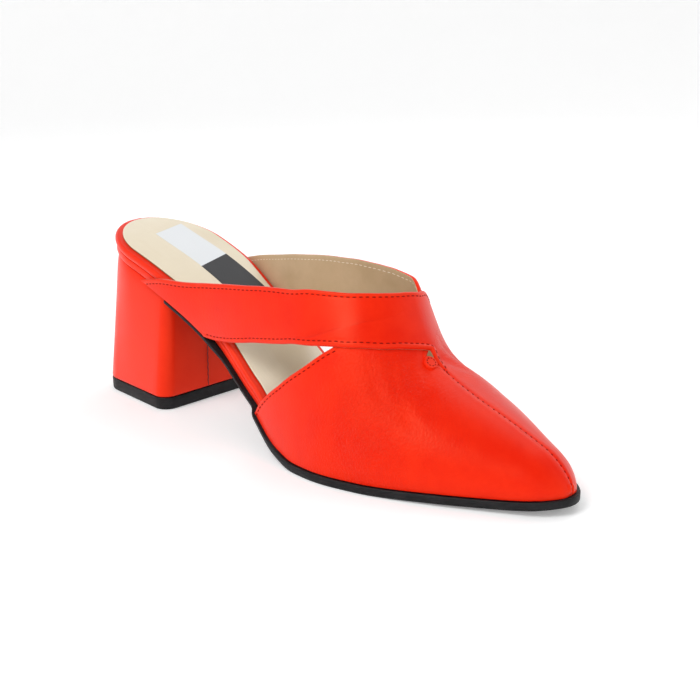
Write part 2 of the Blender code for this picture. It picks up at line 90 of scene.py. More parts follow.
profile = [(0.0, 0.0), (0.6, 0.0), (FLAT_RADIUS, 0.0)]
for k in range(1, RIM_STEPS + 1):
    a = math.pi / 2 * k / RIM_STEPS
    profile.append((FLAT_RADIUS + RIM_RADIUS * math.sin(a), RIM_RADIUS - RIM_RADIUS * math.cos(a)))
profile.append((FLAT_RADIUS + RIM_RADIUS, 2.2))
turns = [math.tau * k / FLOOR_SIDES for k in range(FLOOR_SIDES)]
mesh = bmesh.new()
skin(mesh, [[mesh.verts.new((r * math.cos(a), r * math.sin(a), z)) for a in turns] for r, z in profile])
bmesh.ops.remove_doubles(mesh, verts=mesh.verts, dist=0.0001)
data = bpy.data.meshes.new("floor")
mesh.to_mesh(data)
mesh.free()
data.shade_smooth()
floor = bpy.data.objects.new("floor", data)
bpy.context.collection.objects.link(floor)
paper = bpy.data.materials.new("pale_floor")
paper.use_nodes = True
for socket, value in (
    ("Base Color", (0.92, 0.92, 0.92, 1)),
    ("Roughness", 0.75),
    ("Emission Color", (1, 1, 1, 1)),
    ("Emission Strength", 0.22),
):
    paper.node_tree.nodes["Principled BSDF"].inputs[socket].default_value = value
data.materials.append(paper)

# Lights. A large soft light high on the left of the camera, a weaker one on its right, one
# behind, and an even white sky. All of them point at the shoe's middle.
SHOE_MIDDLE = Vector((0.08, 0.0, 0.03))
for name, place, size, power in (
    ("key_light", (0.00, -1.10, 1.35), 1.0, 14.5),
    ("fill_light", (1.20, -0.80, 0.90), 1.0, 0.3),
    ("rear_light", (0.00, 1.00, 1.30), 1.2, 5.0),
):
    light = bpy.data.lights.new(name, "AREA")
    light.shape = "DISK"
    light.size = size
    light.energy = power
    lamp = bpy.data.objects.new(name, light)
    bpy.context.collection.objects.link(lamp)
    lamp.location = place
    aim = SHOE_MIDDLE - lamp.location
    lamp.rotation_euler = aim.to_track_quat("-Z", "Y").to_euler()
sky = bpy.data.worlds.new("sky")
sky.use_nodes = True
sky.node_tree.nodes["Background"].inputs["Color"].default_value = (1.0, 1.0, 1.0, 1)
sky.node_tree.nodes["Background"].inputs["Strength"].default_value = 0.36
bpy.context.scene.world = sky
bpy.context.scene.view_settings.view_transform = "Standard"

# Top lift. A plate of black rubber that is nailed under the heel's block. Its edges are broken,
# and a small moulded ring stands on its breast side.
HEEL_START = 0.0036
HEEL_BREAST = 0.0562
MIDDLE = (HEEL_START + HEEL_BREAST) / 2
BACK_CORNER = 0.0130
BREAST_CORNER = 0.0065
BACK_WIDTH = 0.0568
BREAST_WIDTH = 0.0621
CORNER_STEPS = 14


def link(name, mesh, materials, node=None):
    """Makes a mesh a smooth piece of the shoe, which rides on it and may stand for a node."""
    for v in mesh.verts:
        v.co.x -= MIDDLE
    data = bpy.data.meshes.new(name)
    mesh.to_mesh(data)
    mesh.free()
    data.shade_smooth()
    data.set_sharp_from_angle(angle=math.radians(50))
    for material in materials:
        data.materials.append(material)
    piece = bpy.data.objects.new(name, data)
    bpy.context.collection.objects.link(piece)
    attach(piece, "root")
    if node:
        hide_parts(node)


def surface(name, colour, roughness):
    """A material with its shader, and a helper that adds nodes to it."""
    material = bpy.data.materials.new(name)
    material.use_nodes = True
    tree = material.node_tree
    shader = tree.nodes["Principled BSDF"]
    shader.inputs["Base Color"].default_value = (*colour, 1)
    shader.inputs["Roughness"].default_value = roughness

    def add(kind, values=None, **settings):
        item = tree.nodes.new(kind)
        for key, value in settings.items():
            setattr(item, key, value)
        for key, value in (values or {}).items():
            if isinstance(value, bpy.types.NodeSocket):
                tree.links.new(value, item.inputs[key])
            else:
                item.inputs[key].default_value = value
        return item

    return material, shader, tree, add


def ramp(add, factor, low, high):
    """A colour that runs between two, each given with its place on the way."""
    tone = add("ShaderNodeValToRGB", {"Fac": factor})
    for stop, (place, colour) in zip(tone.color_ramp.elements, (low, high)):
        stop.position = place
        stop.color = (*colour, 1)
    return tone.outputs["Color"]


def relief(add, height, strength, distance, under=None):
    """A fine relief, laid over another one where that is given."""
    values = {"Height": height, "Strength": strength, "Distance": distance}
    if under is not None:
        values["Normal"] = under
    return add("ShaderNodeBump", values).outputs["Normal"]


def plate(rings):
    """A closed plate from a stack of rings, each a lateral and a medial line of points."""
    mesh = bmesh.new()
    rows = [[[mesh.verts.new(p) for p in line] for line in ring] for ring in rings]
    skin(mesh, [lateral + medial[::-1] for lateral, medial in rows])
    for lateral, medial in (rows[0], rows[-1]):
        for k in range(len(lateral) - 1):
            mesh.faces.new([lateral[k], lateral[k + 1], medial[k + 1], medial[k]])
    bmesh.ops.remove_doubles(mesh, verts=mesh.verts, dist=0.000002)
    flat = [f for f in mesh.faces if f.calc_area() < 1e-12]
    bmesh.ops.delete(mesh, geom=flat, context="FACES_ONLY")
    bmesh.ops.recalc_face_normals(mesh, faces=mesh.faces)
    return mesh


def offset(sides, distances, square_start=False):
    """Moves an outline's points inwards, square to it, by a distance for each station."""
    lateral, medial = sides
    moved = []
    for s, points, other in ((-1, lateral, medial), (1, medial, lateral)):
        before = np.roll(points, 1, axis=0)
        after = np.roll(points, -1, axis=0)
        first = other[1] if np.allclose(other[0], points[0]) else other[0]
        before[0] = points[0] if square_start else first
        after[-1] = other[-2] if np.allclose(other[-1], points[-1]) else other[-1]
        d = after - before
        size = np.hypot(d[:, 0], d[:, 1])
        inwards = np.stack([s * distances * d[:, 1], -s * distances * d[:, 0]], 1)
        moved.append(points + inwards / size[:, None])
    return moved


def heel_base():
    """The heel's bottom outline as a lateral and a medial line from back to breast."""
    length = HEEL_BREAST - HEEL_START
    back, front = BACK_CORNER, BREAST_CORNER
    half_back, half_front = BACK_WIDTH / 2, BREAST_WIDTH / 2
    a = np.linspace(0, np.pi / 2, CORNER_STEPS + 1)
    u = np.arange(1, 12)[:, None] / 12
    line = np.concatenate([
        np.stack([back - back * np.cos(a), half_back - back + back * np.sin(a)], 1),
        np.hstack([back + (length - front - back) * u, half_back + (half_front - half_back) * u]),
        np.stack([length - front + front * np.sin(a), half_front - front + front * np.cos(a)], 1),
    ])
    return [np.stack([HEEL_START + line[:, 0], s * line[:, 1]], 1) for s in (-1, 1)]


# The rubber is dull, with a fine moulded texture and a few paler scuffs.
black, shader, tree, add = surface("black_rubber", (0.012, 0.012, 0.013), 0.5)
shader.inputs["Specular IOR Level"].default_value = 0.22
where = add("ShaderNodeTexCoord").outputs["Object"]
scuff = add("ShaderNodeTexNoise", {"Vector": where, "Scale": 120.0, "Detail": 6.0, "Roughness": 0.7})
tone = ramp(add, scuff.outputs["Fac"], (0.45, (0.005, 0.005, 0.006)), (0.8, (0.018, 0.018, 0.020)))
tree.links.new(tone, shader.inputs["Base Color"])
grit = add("ShaderNodeTexNoise", {"Vector": where, "Scale": 2500.0, "Detail": 2.0})
tree.links.new(relief(add, grit.outputs["Fac"], 0.2, 0.0001), shader.inputs["Normal"])

base = heel_base()
none = np.zeros(len(base[0]))
rings = []
for inset, z in (
    (0.0006, 0.0), (0.0002, 0.0002), (0.0, 0.0006), (0.0, 0.0051), (0.0002, 0.0055), (0.0005, 0.0056),
):
    rings.append([[Vector((x, y, z)) for x, y in line] for line in offset(base, none + inset)])
link("top_lift", plate(rings), [black], "heel_lift")

RING_Y, RING_Z = -0.0056, 0.0027
RING_RADIUS = 0.0014
RING_WIDE, RING_HIGH = 0.00020, 0.00010
mesh = bmesh.new()
rows = []
for k in range(28):
    a = math.tau * k / 28
    row = []
    for i in range(8):
        b = math.tau * i / 8
        out = RING_RADIUS + RING_WIDE * math.cos(b)
        spot = (HEEL_BREAST + RING_HIGH * math.sin(b), RING_Y + out * math.cos(a), RING_Z + out * math.sin(a))
        row.append(mesh.verts.new(spot))
    rows.append(row)
skin(mesh, [rows[-1]] + rows)
bmesh.ops.recalc_face_normals(mesh, faces=mesh.faces)
link("lift_ring", mesh, [black])

# Heel cover. Red leather that is drawn over the block and glued, rounded over at the top and
# tucked in at the bottom. The block's top follows the shoe's plan and seat, which the table holds
# as shares of the named sizes at shares of the length.
LENGTH = 0.245
BALL_WIDTH = 0.070
HEEL_HEIGHT = 0.0664
SOLE_THICKNESS = 0.0032
WALL = 0.0016
GAP = 0.0003
SOLE_EDGE = 0.0012
LAST_END = LENGTH - WALL - GAP - SOLE_EDGE - 0.0005
HEEL_ROUND = 0.029
TOE_ROUND = 0.009
PLAN = (
    # at, lateral, medial, seat
    (0.00, 0.378, 0.374, 1.000),
    (0.10, 0.383, 0.376, 0.883),
    (0.20, 0.386, 0.356, 0.760),
    (0.33, 0.362, 0.274, 0.525),
    (0.45, 0.405, 0.246, 0.213),
    (0.55, 0.505, 0.320, 0.030),
    (0.60, 0.540, 0.390, 0.000),
    (0.64, 0.550, 0.440, 0.000),
    (0.72, 0.504, 0.473, 0.000),
    (0.76, 0.458, 0.465, 0.002),
    (0.82, 0.374, 0.400, 0.010),
    (0.92, 0.203, 0.222, 0.022),
    (1.00, 0.066, 0.070, 0.052),
)


def smooth(table, column, at):
    """A column of a table at a place, on a curve that keeps the rows' rises and falls."""
    xs = [row[0] for row in table]
    ys = [row[column] for row in table]
    steps = [(ys[k + 1] - ys[k]) / (xs[k + 1] - xs[k]) for k in range(len(xs) - 1)]
    if at <= xs[0]:
        return ys[0] + (at - xs[0]) * steps[0]
    if at >= xs[-1]:
        return ys[-1] + (at - xs[-1]) * steps[-1]

    def bend(k):
        if k == 0:
            return steps[0]
        if k == len(xs) - 1:
            return steps[-1]
        before, after = steps[k - 1], steps[k]
        if before * after <= 0:
            return 0.0
        back, ahead = xs[k] - xs[k - 1], xs[k + 1] - xs[k]
        near, far = 2 * ahead + back, ahead + 2 * back
        return (near + far) / (near / before + far / after)

    k = max(i for i in range(len(xs) - 1) if xs[i] <= at)
    span = xs[k + 1] - xs[k]
    u = (at - xs[k]) / span
    return (
        (2 * u**3 - 3 * u**2 + 1) * ys[k]
        + (u**3 - 2 * u**2 + u) * span * bend(k)
        + (3 * u**2 - 2 * u**3) * ys[k + 1]
        + (u**3 - u**2) * span * bend(k + 1)
    )


fine = np.linspace(-0.06, 1.06, 1121)
plan = [np.array([smooth(PLAN, c, a) for a in fine]) for c in (1, 2, 3)]


def rounded(distance, radius):
    """How full a rounded end is at a distance from it, from 0 to 1."""
    near = np.clip(1 - np.asarray(distance) / radius, 0.0, 1.0)
    return np.sqrt(1 - near**2)


def half_width(x, side, end):
    """The width on one side of the shoe's middle line, rounded off at the heel and at the end."""
    width = BALL_WIDTH * np.interp(x / LENGTH, fine, plan[0 if side < 0 else 1])
    return width * rounded(x, HEEL_ROUND) * rounded(end - x, TOE_ROUND)


def axis(x):
    """How far the shoe's middle line runs to the medial side."""
    return 0.002 * x / LENGTH


def seat(x):
    """The height of the outsole's and the heel's top, which carries the footbed."""
    return SOLE_THICKNESS + HEEL_HEIGHT * np.interp(x / LENGTH, fine, plan[2])


# The leather is smooth and half glossy, with fine pores, faint mottling, wrinkles where the
# attribute crease is set, and a slightly raised band along the folded edges that carries a painted highlight.
red, shader, tree, add = surface("red_leather", (0.88, 0.012, 0.001), 0.34)
shader.inputs["Specular IOR Level"].default_value = 0.38
shader.inputs["Specular Tint"].default_value = (1.0, 0.45, 0.24, 1)
where = add("ShaderNodeTexCoord").outputs["Object"]
cloud = add("ShaderNodeTexNoise", {"Vector": where, "Scale": 70.0, "Detail": 4.0, "Roughness": 0.6})
tone = ramp(add, cloud.outputs["Fac"], (0.3, (0.75, 0.009, 0.0008)), (0.7, (0.82, 0.017, 0.0016)))
band = add("ShaderNodeAttribute", attribute_name="edge")
fold = add("ShaderNodeMapRange", {
    "Value": band.outputs["Fac"], "From Min": 0.0012, "From Max": 0.0022, "To Min": 1.0, "To Max": 0.0,
}, interpolation_type="SMOOTHSTEP")
# Painted highlight: near the folded edges up to 0.35 of the colour is mixed towards a lighter, more orange
# red.
painted_edge_highlight = add("ShaderNodeMath", {0: fold.outputs["Result"], 1: 0.35}, operation="MULTIPLY")
blend = add("ShaderNodeMixRGB", {
    "Fac": painted_edge_highlight.outputs[0], "Color1": tone, "Color2": (0.84, 0.036, 0.010, 1),
})
tree.links.new(blend.outputs["Color"], shader.inputs["Base Color"])
gloss = add("ShaderNodeMapRange", {
    "Value": cloud.outputs["Fac"], "From Min": 0.3, "From Max": 0.7, "To Min": 0.30, "To Max": 0.40,
})
tree.links.new(gloss.outputs["Result"], shader.inputs["Roughness"])
pores = add("ShaderNodeTexVoronoi", {"Vector": where, "Scale": 1700.0, "Randomness": 1.0})
squeezed = add("ShaderNodeMapping", {
    "Vector": where, "Scale": (1300.0, 560.0, 900.0), "Rotation": (0.0, 0.55, 0.75),
})
wrinkles = add("ShaderNodeTexNoise", {
    "Vector": squeezed.outputs["Vector"], "Scale": 1.0, "Detail": 4.0, "Roughness": 0.55, "Distortion": 0.4,
})
crease = add("ShaderNodeAttribute", attribute_name="crease")
folded = add("ShaderNodeMath", {0: wrinkles.outputs["Fac"], 1: crease.outputs["Fac"]}, operation="MULTIPLY")
pored = relief(add, pores.outputs["Distance"], 0.10, 0.0002)
creased = relief(add, folded.outputs[0], 1.0, 0.0005, pored)
tree.links.new(relief(add, fold.outputs["Result"], 0.6, 0.0002, creased), shader.inputs["Normal"])

top_line = []
corner = HEEL_BREAST - BREAST_CORNER
rear = len(base[0]) - CORNER_STEPS
for s in (-1, 1):
    u = (np.arange(rear) + 1) / rear
    x = corner * (0.6 * u * u + 0.4 * (1 - np.cos(np.pi * u / 2)))
    body = np.stack([x, axis(x) + s * half_width(x, s, LAST_END)], 1)
    a = np.linspace(0, np.pi / 2, CORNER_STEPS + 1)[1:]
    wide = half_width(corner, s, LAST_END) - BREAST_CORNER
    bend = np.stack([
        corner + BREAST_CORNER * np.sin(a), axis(corner) + s * (wide + BREAST_CORNER * np.cos(a)),
    ], 1)
    top_line.append(np.concatenate([body, bend]))
COVER_START = 0.0059
TOP_INSET = 0.0016
rings = []
for up, lip in (
    # share of the way up, distance drawn in
    (0.0, 0.0004), (0.006, 0.0001), (0.02, 0.0), (0.15, 0.0), (0.3, 0.0), (0.45, 0.0), (0.6, 0.0),
    (0.75, 0.0), (0.86, 0.0), (0.92, 0.0001), (0.955, 0.0003), (0.98, 0.0007), (1.0, 0.0015),
):
    head = offset(top_line, none + TOP_INSET + lip)
    foot = offset(base, none + (lip if up < 0.1 else 0.0))
    ring = []
    for low_line, high_line in zip(foot, head):
        line = []
        for (x0, y0), (x1, y1) in zip(low_line, high_line):
            z = COVER_START + (seat(x1) - GAP - COVER_START) * up
            line.append(Vector((x0 + (x1 - x0) * up, y0 + (y1 - y0) * up, z)))
        ring.append(line)
    rings.append(ring)
link("heel_cover", plate(rings), [red], "heel")

# Cover seam. The cover's two edges meet down the middle of the breast and are glued, which
# leaves a thin dark line with a low lip.
SEAM_FOOT, SEAM_HEAD = 0.0064, 0.0445
SEAM_Y, SEAM_LEAN, SEAM_SWAY = -0.0061, 0.0013, 0.00012
SEAM_STEPS = 60
seam_red, shader, tree, add = surface("seam_red", (0.16, 0.004, 0.002), 0.6)
where = add("ShaderNodeTexCoord").outputs["Object"]
uneven = add("ShaderNodeTexNoise", {"Vector": where, "Scale": 800.0, "Detail": 3.0})
tree.links.new(relief(add, uneven.outputs["Fac"], 0.4, 0.0002), shader.inputs["Normal"])
mesh = bmesh.new()
rows = []
for k in range(SEAM_STEPS + 1):
    z = SEAM_FOOT + (SEAM_HEAD - SEAM_FOOT) * k / SEAM_STEPS
    y = SEAM_Y + SEAM_LEAN * k / SEAM_STEPS + SEAM_SWAY * math.sin(k * 1.3)
    rows.append([mesh.verts.new((HEEL_BREAST + dx, y + dy, z)) for dx, dy in (
        (-0.00008, -0.00028), (0.00008, -0.00012), (0.00008, 0.00012), (-0.00008, 0.00028),
    )])
skin(mesh, rows)
mesh.faces.new(rows[0])
mesh.faces.new(rows[-1])
bmesh.ops.recalc_face_normals(mesh, faces=mesh.faces)
link("cover_seam", mesh, [seam_red])

# Outsole. Thin black rubber, cemented under the shoe from the heel's breast to the toe. It is
# flat under the forefoot, with the toe's spring, and stands out a little round the vamp.
SOLE_OUT = (
    # at, out
    (0.22, 0.45),
    (0.34, 0.45),
    (0.38, -0.20),
    (0.455, -0.20),
    (0.477, 1.00),
    (0.60, 1.00),
)
ARCH_DEPTH = 0.0014
FOREPART_MORE = 0.0018


def ease(u):
    """A share from 0 to 1 with a soft start and end."""
    u = np.clip(u, 0.0, 1.0)
    return u * u * (3 - 2 * u)


def slope(x):
    """The seat's slope at a station."""
    return (seat(x + 0.0005) - seat(x - 0.0005)) / 0.001


def outline(start, end, steps):
    """The shoe's plan from one station to another as a lateral and a medial line."""
    u = np.linspace(0, 1, steps + 1)
    x = start + (end - start) * (0.75 * (0.5 - 0.5 * np.cos(np.pi * u)) + 0.25 * u)
    return [np.stack([x, axis(x) + s * half_width(x, s, end)], 1) for s in (-1, 1)]


sides = outline(HEEL_BREAST + GAP, LAST_END, 170)
stations = sides[0][:, 0]
proud = SOLE_EDGE + (WALL + GAP) * np.array([smooth(SOLE_OUT, 1, x / LENGTH) for x in stations])
rings = []
for bevel, share in ((0.0006, 1.0), (0.00015, 0.93), (0.0, 0.8), (0.0, 0.12), (0.0003, 0.0)):
    ring = []
    for line in offset(sides, bevel - proud, True):
        x, y = line[:, 0], line[:, 1]
        depth = ARCH_DEPTH + FOREPART_MORE * ease((x / LENGTH - 0.45) / 0.15)
        z = seat(x) - share * depth * np.hypot(1, slope(x))
        ring.append([Vector(p) for p in zip(x, y, np.maximum(z, 0.0))])
    rings.append(ring)
link("rubber_sole", plate(rings), [black], "outsole")

# Rand. The lower wrapped strip of red leather round the footbed, a little inside the board's
# bead. It is lasted under and stands on the outsole and the heel.
RAND_HEIGHT = 0.0034
RAND_INSET = 0.0010
FOOTBED_SHORT = 0.012
VAMP_ROOM = 0.0016
VAMP_THINNING = 0.45
COVERED_FROM, COVERED_OVER = 0.46, 0.10
SQUARE_SHARE = 0.80


def over_seat(x, level):
    """The place of points at a level over the seat, square to it near the heel's back."""
    square = SQUARE_SHARE * (1 - ease((x / LENGTH - 0.08) / 0.12))
    upright = np.hypot(1, slope(x))
    forward = -square * level * slope(x) / upright
    return x + forward, seat(x) + GAP + level * upright + forward * slope(x)


def footbed(base, thickness, edge, inset):
    """A layer of the footbed, drawn in and thinned where the vamp covers it."""
    sides = outline(0.0, LAST_END - FOOTBED_SHORT, 130)
    covered = ease((sides[0][:, 0] / LENGTH - COVERED_FROM) / COVERED_OVER)
    rings = []
    for depth, up in edge:
        ring = []
        for line in offset(sides, inset + depth + VAMP_ROOM * covered):
            x, y = line[:, 0], line[:, 1]
            thin = 1 - VAMP_THINNING * ease((x / LENGTH - COVERED_FROM) / COVERED_OVER)
            x, z = over_seat(x, (base + up * thickness - GAP) * thin)
            ring.append([Vector(p) for p in zip(x, y, z)])
        rings.append(ring)
    return rings


edge = ((0.0006, 0.0), (0.0002, 0.06), (0.0, 0.2), (0.0, 0.8), (0.0002, 0.94), (0.0007, 1.0))
link("rand_strip", plate(footbed(GAP, RAND_HEIGHT, edge, RAND_INSET)), [red], "rand")

# Insole board. A board wrapped in the same red leather, with a round bead round its edge. It lies
# on the rand and carries the sock.
BOARD_LEVEL = 0.0040
BOARD_HEIGHT = 0.0034
BEAD_DEPTH = 0.0017
BEAD_STEPS = 12
edge = []
for k in range(BEAD_STEPS + 1):
    a = math.pi * k / BEAD_STEPS
    edge.append(((BEAD_DEPTH - BEAD_DEPTH * math.sin(a)) * 0.75, 0.5 - 0.5 * math.cos(a)))
mesh = plate(footbed(BOARD_LEVEL, BOARD_HEIGHT, edge, 0.0))
link("board_wrap", mesh, [red], "insole_board")

# Sock. Smooth pale lining leather, cut to shape and glued on the board. It has a soft shine and
# faint press marks, and its cut edge shows brown.
SOCK_LEVEL = 0.0077
SOCK_THICKNESS = 0.0008
SOCK_INSET = 0.0032
pale, shader, tree, add = surface("pale_sock", (0.80, 0.70, 0.54), 0.30)
where = add("ShaderNodeTexCoord").outputs["Object"]
cloud = add("ShaderNodeTexNoise", {"Vector": where, "Scale": 28.0, "Detail": 4.0, "Roughness": 0.55})
tone = ramp(add, cloud.outputs["Fac"], (0.3, (0.74, 0.64, 0.47)), (0.72, (0.82, 0.73, 0.57)))
tree.links.new(tone, shader.inputs["Base Color"])
grain = add("ShaderNodeTexVoronoi", {"Vector": where, "Scale": 1300.0})
long_way = add("ShaderNodeMapping", {"Vector": where, "Scale": (16.0, 160.0, 16.0)})
streaks = add("ShaderNodeTexNoise", {"Vector": long_way.outputs["Vector"], "Scale": 1.0, "Detail": 3.0})
grained = relief(add, grain.outputs["Distance"], 0.08, 0.0002)
tree.links.new(relief(add, streaks.outputs["Fac"], 0.35, 0.0010, grained), shader.inputs["Normal"])
cut, shader, tree, add = surface("cut_edge", (0.16, 0.075, 0.035), 0.8)
where = add("ShaderNodeTexCoord").outputs["Object"]
fibre = add("ShaderNodeTexNoise", {"Vector": where, "Scale": 1500.0, "Detail": 3.0})
tone = ramp(add, fibre.outputs["Fac"], (0.0, (0.07, 0.03, 0.015)), (1.0, (0.42, 0.26, 0.14)))
tree.links.new(tone, shader.inputs["Base Color"])
edge = ((0.0, 0.0), (0.0, 0.35), (0.0, 0.66), (0.00006, 0.8), (0.0003, 0.93), (0.0008, 1.0))
mesh = plate(footbed(SOCK_LEVEL, SOCK_THICKNESS, edge, SOCK_INSET))
for face in mesh.faces:
    face.material_index = 1 if abs(face.normal.z) < 0.35 else 0
link("sock_lining", mesh, [pale, cut], "sock")

# Sock label. A thin printed patch of two plain fields, one pale and one dark, glued on the sock
# under the heel along the shoe's length.
LABEL_NEAR, LABEL_FAR = np.array((0.0213, -0.0047)), np.array((0.0161, 0.0139))
LABEL_ALONG = np.array((0.0650, 0.0007))
LABEL_HEIGHTS = (0.00002, 0.00014)
sock_x, sock_z = over_seat(np.linspace(0.001, 0.16, 500), SOCK_LEVEL + SOCK_THICKNESS - GAP)


def round_grid(layer):
    """The vertices round a grid's rim, in order."""
    far_side = [line[-1] for line in layer][-2::-1]
    return [line[0] for line in layer] + layer[-1][1:] + far_side + layer[0][-2:0:-1]


for label_name, colour, start, end in (
    ("label_pale", (0.76, 0.78, 0.80), 0.0, 0.495),
    ("label_dark", (0.022, 0.022, 0.025), 0.495, 1.0),
):
    print_ink, shader, tree, add = surface(label_name + "_print", colour, 0.55)
    where = add("ShaderNodeTexCoord").outputs["Object"]
    weave = add("ShaderNodeTexNoise", {"Vector": where, "Scale": 1800.0, "Detail": 2.0})
    tree.links.new(relief(add, weave.outputs["Fac"], 0.15, 0.0001), shader.inputs["Normal"])
    mesh = bmesh.new()
    grid = []
    for height in LABEL_HEIGHTS:
        layer = []
        for u in np.linspace(start, end, 21):
            start_spot = LABEL_NEAR + LABEL_ALONG * u
            spots = [start_spot + (LABEL_FAR - LABEL_NEAR) * v for v in np.linspace(0, 1, 9)]
            layer.append([mesh.verts.new((x, y, np.interp(x, sock_x, sock_z) + height)) for x, y in spots])
        for low, high in zip(layer, layer[1:]):
            for i in range(8):
                mesh.faces.new((low[i], low[i + 1], high[i + 1], high[i]))
        grid.append(layer)
    skin(mesh, [round_grid(layer) for layer in grid])
    bmesh.ops.recalc_face_normals(mesh, faces=mesh.faces)
    link(label_name, mesh, [print_ink])

# Upper. Two pieces of red leather, each backed with beige lining leather and folded at its edges,
# that cross over the instep and are lasted under. A is the lateral strap with the medial half of
# the vamp and lies over B, the other two. A seam joins their halves from the keyhole to the toe.
INSTEP_HEIGHT = 0.0725
TOE_RISE = 0.013
SOFTENING = 0.022
SLOT_LENGTH = 0.0055
TIP = LAST_END / LENGTH - 2e-6
SECTIONS = (
    # at, ridge, lean, bulge, low, lateral, medial
    (0.15, 0.940, 0.050, 0.030, 0.35, 0.83, 1.20),
    (0.33, 1.050, 0.070, 0.050, 0.35, 0.78, 1.38),
    (0.45, 1.240, 0.090, 0.040, 0.35, 0.70, 1.35),
    (0.55, 1.290, 0.090, -0.020, 0.35, 0.56, 0.95),
    (0.62, 1.090, 0.090, -0.040, 0.36, 0.53, 0.70),
    (0.655, 0.940, 0.080, -0.033, 0.38, 0.55, 0.49),
    (0.685, 0.767, 0.040, -0.020, 0.42, 0.555, 0.24),
    (0.715, 0.603, 0.005, 0.010, 0.49, 0.53, 0.22),
    (0.75, 0.494, 0.005, 0.034, 0.57, 0.515, 0.38),
    (0.79, 0.418, 0.005, 0.040, 0.61, 0.48, 0.55),
    (0.84, 0.337, 0.015, 0.038, 0.63, 0.45, 0.54),
    (0.90, 0.244, 0.030, 0.027, 0.65, 0.455, 0.44),
    (0.95, 0.160, 0.030, 0.018, 0.65, 0.50, 0.40),
    (1.00, 0.062, 0.025, 0.010, 0.60, 0.54, 0.36),
)
THROAT = (0.660, 0.260)
KEYHOLE = (0.7265, 0.000)
LATERAL_CROSS = (0.6343, -0.5337)
MEDIAL_CROSS = (0.632, 0.520)

A_STRAP_BACK = (
    THROAT, (0.6715, 0.100), (0.6725, 0.025), (0.67, -0.063), (0.6602, -0.181), (0.6344, -0.316),
    (0.5933, -0.416), (0.5538, -0.479), (0.5031, -0.527), (0.452, -0.585), (0.3961, -0.655),
    (0.337, -0.742), (0.278, -0.829), (0.227, -0.896), (0.165, -1.000),
)
A_STRAP_FRONT = (
    LATERAL_CROSS, (0.6206, -0.558), (0.5769, -0.621), (0.5118, -0.692), (0.4349, -0.801),
    (0.3921, -0.880), (0.358, -0.950), (0.332, -1.000),
)
A_CROSS_BACK = (THROAT, (0.654, 0.345), (0.644, 0.430), MEDIAL_CROSS)
A_CROSS_FRONT = (
    LATERAL_CROSS, (0.6549, -0.487), (0.6915, -0.334), (0.7136, -0.157), (0.7225, -0.055),
    KEYHOLE,
)
A_VAMP_BACK = (
    MEDIAL_CROSS, (0.617, 0.590), (0.586, 0.680), (0.547, 0.772), (0.519, 0.837), (0.489, 0.929),
    (0.474, 1.000),
)
B_STRAP_BACK = (
    THROAT, (0.641, 0.293), (0.6169, 0.355), (0.5902, 0.404), (0.565, 0.441), (0.5131, 0.477),
    (0.4721, 0.519), (0.442, 0.551), (0.41, 0.590), (0.359, 0.662), (0.303, 0.749),
    (0.2393, 0.853), (0.16, 1.000),
)
B_STRAP_FRONT = (
    MEDIAL_CROSS, (0.615, 0.560), (0.577, 0.622), (0.512, 0.694), (0.435, 0.805),
    (0.392, 0.885), (0.358, 0.950), (0.332, 1.000),
)
B_CROSS_BACK = (
    THROAT, (0.670, 0.200), (0.679, 0.110), (0.684, 0.010), (0.685, -0.080), (0.680, -0.210),
    (0.661, -0.360), (0.643, -0.455), LATERAL_CROSS,
)
B_CROSS_FRONT = (
    MEDIAL_CROSS, (0.660, 0.440), (0.692, 0.310), (0.713, 0.154), (0.722, 0.053), KEYHOLE,
)
B_VAMP_BACK = (
    LATERAL_CROSS, (0.617, -0.590), (0.586, -0.680), (0.547, -0.772), (0.519, -0.837),
    (0.489, -0.929), (0.473, -1.000),
)
sections = []
for c in range(7):
    column = np.array([smooth(SECTIONS, c, a) for a in fine]) if c else fine
    spread = [np.interp(fine + SOFTENING * d, fine, column) for d in (-1.0, -0.5, 0.0, 0.5, 1.0)]
    sections.append(sum(w * v for w, v in zip((0.1, 0.25, 0.3, 0.25, 0.1), spread)))


def last_points(at, around):
    """Points of the last, which is the upper's inner face."""
    x = at * LENGTH
    s = np.where(around < 0, -1.0, 1.0)
    tip = rounded(LAST_END - x, TOE_ROUND)
    width = np.where(s < 0, half_width(x, -1, LAST_END), half_width(x, 1, LAST_END)) + GAP
    ridge, lean, bulge, low = (np.interp(at, fine, sections[c]) for c in (1, 2, 3, 4))
    shoulder = np.where(s < 0, np.interp(at, fine, sections[5]), np.interp(at, fine, sections[6]))
    height = INSTEP_HEIGHT * ridge * rounded(LAST_END - x, TOE_RISE)
    lean = BALL_WIDTH * lean * tip * s
    bulge = BALL_WIDTH * bulge * tip
    up = 1 - np.abs(around)
    weights = ((1 - up) ** 3, 3 * up * (1 - up) ** 2, 3 * up**2 * (1 - up), up**3)
    outs = (width, width + bulge, lean + shoulder * (width - lean), lean)
    rises = (0 * height, low * height, height, height)
    out = sum(w * v for w, v in zip(weights, outs))
    rise = sum(w * v for w, v in zip(weights, rises))
    return np.stack([x, axis(x) + s * out, seat(x) + GAP + rise], 1)


def last_normals(at, around):
    """Directions out of the shoe, square to the last."""
    end = LAST_END / LENGTH
    along = np.maximum(np.minimum(0.008, 0.45 * (end - at)), 1e-7)
    forward = last_points(at + along, around) - last_points(at - along, around)
    high, low = np.minimum(around + 0.01, 1.0), np.maximum(around - 0.01, -1.0)
    across = last_points(at, high) - last_points(at, low)
    normal = np.cross(forward, across)
    normal[np.abs(around) > 0.999, 2] = 0.0
    normal[at > TIP] = (1.0, 0.0, 0.0)
    return normal / np.linalg.norm(normal, axis=1)[:, None]


AROUND_WEIGHT = 0.25


